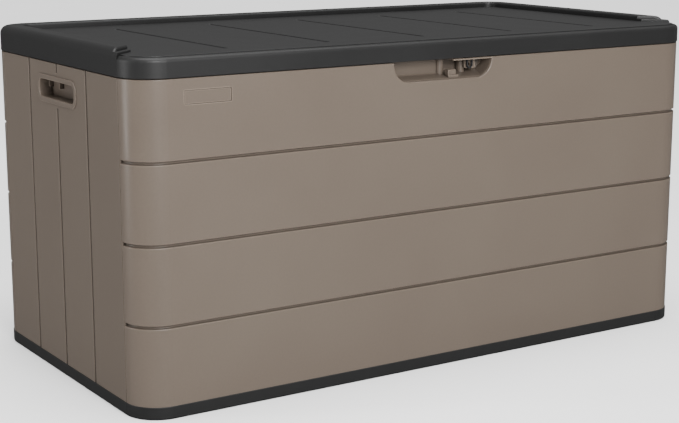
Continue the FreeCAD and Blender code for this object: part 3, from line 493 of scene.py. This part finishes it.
@dataclass(frozen=True)
class StudioVinyl:
    """Matt pale vinyl floor, calendered: even, with a barely visible mottle."""

    name: str = "pale_vinyl_calendered"
    colour: str = "#F2F2F2"
    mottle: str = "#EDEDED"
    roughness: float = 0.8
    mottle_mm: float = 500.0

    def build(self) -> bpy.types.Material:
        """Make the material."""
        material = new_material(self.name)
        tree = material.node_tree
        place = add_node(tree, "ShaderNodeTexCoord").outputs["Object"]
        cloud = add_node(
            tree,
            "ShaderNodeTexNoise",
            {"Scale": 1 / (self.mottle_mm * MM), "Detail": 2.0},
            {"Vector": place},
        )
        tint = add_node(
            tree,
            "ShaderNodeMix",
            {"data_type": "RGBA", 6: linear(self.colour), 7: linear(self.mottle)},
            {0: cloud.outputs["Fac"]},
        )
        shader = add_node(
            tree,
            "ShaderNodeBsdfPrincipled",
            {"Roughness": self.roughness, "Specular IOR Level": 0.2},
            {"Base Color": tint.outputs[2]},
        )
        add_node(tree, "ShaderNodeOutputMaterial", {}, {"Surface": shader.outputs[0]})
        return material


# Polypropylene with a warm grey-brown masterbatch, satin grain
TAUPE_RESIN = MouldedResin(
    name="taupe_polypropylene_moulded",
    colour="#524941",
    cloud="#564D44",
    rubbed="#8A7D70",
    shade="#2B2520",
)
# The same resin with carbon black, from a mould with a slightly rougher grain
CHARCOAL_RESIN = MouldedResin(
    name="charcoal_polypropylene_moulded",
    colour="#1B1B1B",
    cloud="#1E1E1E",
    rubbed="#2C2C2C",
    shade="#0E0E0E",
    roughness=0.44,
    gloss=0.26,
)
ZINC = PlatedSteel("zinc_plated_steel_pressed", "#C9CBCE", "#8E9196")
BLACK_COAT = PowderCoat()


@dataclass(frozen=True)
class Palette:
    """The built materials of the box, one for each slot of the record."""

    materials: dict[str, bpy.types.Material]

    @classmethod
    def mixed(cls) -> "Palette":
        """Build every finish once."""
        return cls(
            {
                Slot.TAUPE.value: TAUPE_RESIN.build(),
                Slot.BLACK.value: CHARCOAL_RESIN.build(),
                Slot.ZINC.value: ZINC.build(),
                Slot.BLACK_STEEL.value: BLACK_COAT.build(),
            }
        )

    def dress(self, node: str) -> None:
        """Give a carried-over CAD node the finish of its slot.

        Args:
            node: Name of the CAD node.
        """
        slots = {row["node"]: row["material_slot"] for row in frame["record"]["subparts"]}
        mesh = frame["nodes"][node].data
        mesh.materials.clear()
        mesh.materials.append(self.materials[slots[node]])
        LOG.info("dressed %s in %s", node, slots[node])


# ---------------------------------------------------------------- studio
@dataclass(frozen=True)
class Panel:
    """One soft light panel of the studio."""

    name: str
    at: tuple[float, float, float]
    aim: tuple[float, float, float]
    size: tuple[float, float]   # width and height
    power: float                # W
    mirrored: bool = True       # False for a fill that shows in no reflection


PANELS = (
    Panel("front_light", (-0.75, -3.0, 1.6), (0.0, 0.0, 0.3), (1.4, 1.2), 168.0),
    Panel("left_strip", (-3.0, 0.8, 0.9), (-0.6, -0.3, 0.3), (0.3, 1.8), 40.0),
    Panel("rear_fill", (0.8, 3.2, 3.4), (0.0, 0.0, 0.3), (2.6, 1.6), 55.0, mirrored=False),
)


@dataclass
class Studio:
    """Pale floor, soft lights and the camera.

    The camera stands at eye, turned right of +Y by yaw and down by pitch, both in degrees.
    """

    lens_mm: float = 80.36
    sensor_mm: float = 36.0
    sight: float = 60.0         # how far the camera sees
    yaw: float = 32.777
    pitch: float = 11.783
    eye: tuple[float, float, float] = (-1.59472, -2.44496, 0.84180)
    floor_half: float = 40.0
    overhead: float = 5.2       # light that the floor gets from above, W/m2
    overhead_spread: float = 55.0
    overhead_from: tuple[float, float, float] = (0.3, -0.6, 6.0)
    ambient: float = 0.19
    panels: tuple[Panel, ...] = PANELS

    def camera(self) -> None:
        """Make the camera, level, turned right of +Y by yaw and down by pitch."""
        data = bpy.data.cameras.new("camera")
        data.lens = self.lens_mm
        data.sensor_width = self.sensor_mm
        data.clip_end = self.sight
        camera = bpy.data.objects.new("camera", data)
        camera.location = self.eye
        camera.rotation_euler = (math.radians(90 - self.pitch), 0.0, math.radians(-self.yaw))
        bpy.context.scene.collection.objects.link(camera)
        bpy.context.scene.camera = camera

    def lamp(
        self, name: str, data: bpy.types.Light, at: Vector, aim: Vector
    ) -> bpy.types.Object:
        """Hang one lamp.

        Args:
            name: Name of the lamp.
            data: Its light.
            at: Where it hangs.
            aim: Point that it faces.

        Returns:
            The lamp.
        """
        lamp = bpy.data.objects.new(name, data)
        lamp.location = at
        lamp.rotation_euler = (aim - at).to_track_quat("-Z", "Y").to_euler()
        lamp.visible_camera = False
        bpy.context.scene.collection.objects.link(lamp)
        return lamp

    def panel(self, panel: Panel) -> None:
        """Hang one soft panel, out of the camera's sight.

        Args:
            panel: Its name, place, aim, size and power.
        """
        data = bpy.data.lights.new(panel.name, "AREA")
        data.shape = "RECTANGLE"
        data.size, data.size_y = panel.size
        data.energy = panel.power
        lamp = self.lamp(panel.name, data, Vector(panel.at), Vector(panel.aim))
        lamp.visible_glossy = panel.mirrored

    def lights(self) -> None:
        """Hang the soft lights and set the even, dim surround."""
        sky = bpy.data.lights.new("overhead_light", "SUN")
        sky.energy = self.overhead
        sky.angle = math.radians(self.overhead_spread)
        self.lamp("overhead_light", sky, Vector(self.overhead_from), Vector())
        for panel in self.panels:
            self.panel(panel)
        world = bpy.data.worlds.new("surround")
        world.use_nodes = True
        back = world.node_tree.nodes["Background"]
        back.inputs["Color"].default_value = linear("#FFFFFF")
        back.inputs["Strength"].default_value = self.ambient
        bpy.context.scene.world = world

    def floor(self) -> None:
        """Lay the pale floor."""
        mesh = bpy.data.meshes.new("floor")
        shape = bmesh.new()
        bmesh.ops.create_grid(shape, x_segments=1, y_segments=1, size=self.floor_half)
        shape.to_mesh(mesh)
        shape.free()
        floor = bpy.data.objects.new("floor", mesh)
        bpy.context.scene.collection.objects.link(floor)
        floor.visible_glossy = False    # flagged off, so that it does not grey the low reflections
        mesh.materials.append(StudioVinyl().build())

    def build(self) -> None:
        """Set up everything round the object."""
        self.camera()
        self.lights()
        self.floor()
        LOG.info("studio set up")


# ---------------------------------------------------------------- the box
@dataclass
class Assembly:
    """Parts of the box that are made and dressed together."""

    nodes: tuple[str, ...]

    def build(self, palette: Palette) -> None:
        """Dress every part.

        Args:
            palette: Built materials.
        """
        for node in self.nodes:
            palette.dress(node)


@dataclass
class Walls(Assembly):
    """Base tray and the four boarded panels, with the screws of their seams."""

    nodes: tuple[str, ...] = (
        "base_tray",
        "front_panel",
        "rear_panel",
        "right_end_panel",
        "left_end_panel",
        "seam_screws",
    )


@dataclass
class Handles(Assembly):
    """Bezelled hand holes of the two ends."""

    nodes: tuple[str, ...] = ("right_handle", "left_handle")


@dataclass
class FingerPull(Assembly):
    """Recess at the top of the front with the lock's tab, and the blank plate beside it."""

    nodes: tuple[str, ...] = (
        "pull_pocket",
        "lock_tab",
        "pull_screws",
        "lock_tab_screws",
        "badge_plate",
    )


@dataclass
class Lid(Assembly):
    """Lid shell with its liner, rails and lock eye."""

    nodes: tuple[str, ...] = (
        "lid_shell",
        "lid_liner",
        "lid_rail_front",
        "lid_rail_rear",
        "lid_hasp",
        "hasp_screws",
        "liner_screws",
    )


@dataclass
class Hinges(Assembly):
    """Three pinned hinges along the rear, and their screws."""

    nodes: tuple[str, ...] = ("hinge_body_screws", "hinge_lid_screws")
    places: tuple[str, ...] = ("left", "centre", "right")
    parts: tuple[str, ...] = ("hinge_body_leaf", "hinge_lid_leaf", "hinge_pin")

    def build(self, palette: Palette) -> None:
        """Dress the hinges and their screws.

        Args:
            palette: Built materials.
        """
        for place in self.places:
            for part in self.parts:
                palette.dress(f"{part}_{place}")
        super().build(palette)


def main() -> None:
    """Build the scene piece by piece."""
    logging.basicConfig(level=logging.INFO, format="%(message)s")
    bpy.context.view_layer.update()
    Studio().build()
    palette = Palette.mixed()
    for part in (Walls(), Handles(), FingerPull(), Lid(), Hinges()):
        part.build(palette)


if __name__ == "__main__":
    main()
